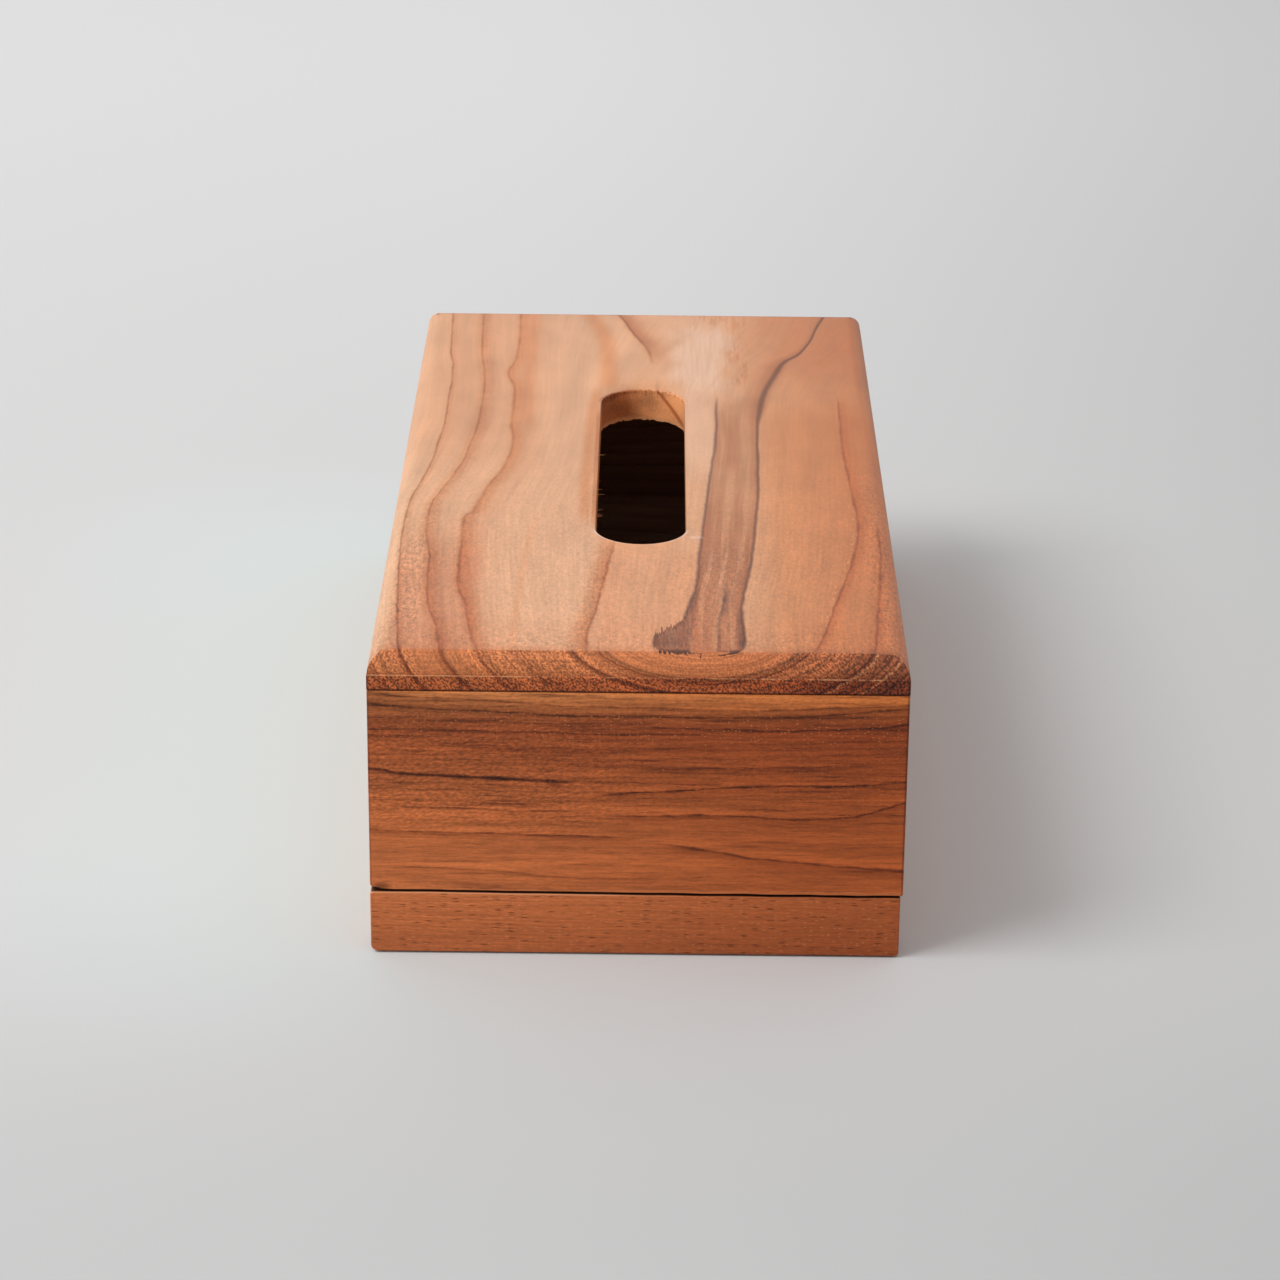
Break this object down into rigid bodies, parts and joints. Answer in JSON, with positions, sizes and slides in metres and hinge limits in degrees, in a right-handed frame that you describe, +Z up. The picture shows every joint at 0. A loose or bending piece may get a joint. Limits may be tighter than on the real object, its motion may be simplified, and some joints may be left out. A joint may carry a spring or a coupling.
{
  "type": "tissue box cover",
  "caption": "Long wooden box for a pack of tissues: boards with a rounded-over top, a slot with round ends to draw tissues through, and a base that slides out at one end.",
  "frame": {"origin": "middle of the box's footprint, on the surface that it stands on", "axes": "+Z up, +Y along the box towards the back, -Y out of the end where the base slides out, +X to the right as seen from that end"},
  "size_m": [0.13, 0.272, 0.079],
  "materials": {
    "top_board": "sanded flat-sawn teak with a thin satin oil, salmon to orange brown with dark grain lines",
    "front_board": "sanded teak with a thin satin oil, red brown with dark lines running left to right",
    "wall_board": "sanded teak with a thin satin oil, brown with darker grain lines",
    "base_board": "bare teak, planed",
    "dowel_wood": "bare pale hardwood"
  },
  "bodies": {
    "box": {"top_panel": "top_board", "front_panel": "front_board", "back_panel": "wall_board", "left_side_panel": "wall_board", "right_side_panel": "wall_board", "front_left_upper_dowel": "dowel_wood", "front_left_lower_dowel": "dowel_wood", "front_right_upper_dowel": "dowel_wood", "front_right_lower_dowel": "dowel_wood", "back_left_upper_dowel": "dowel_wood", "back_left_lower_dowel": "dowel_wood", "back_right_upper_dowel": "dowel_wood", "back_right_lower_dowel": "dowel_wood"},
    "sliding_base": {"base_board": "base_board", "base_strip": "front_board"}
  },
  "joints": [
    {"name": "base_slide", "type": "slide", "parent": "box", "child": "sliding_base", "axis": [0, -1, 0], "range_m": [0, 0.268]}
  ]
}
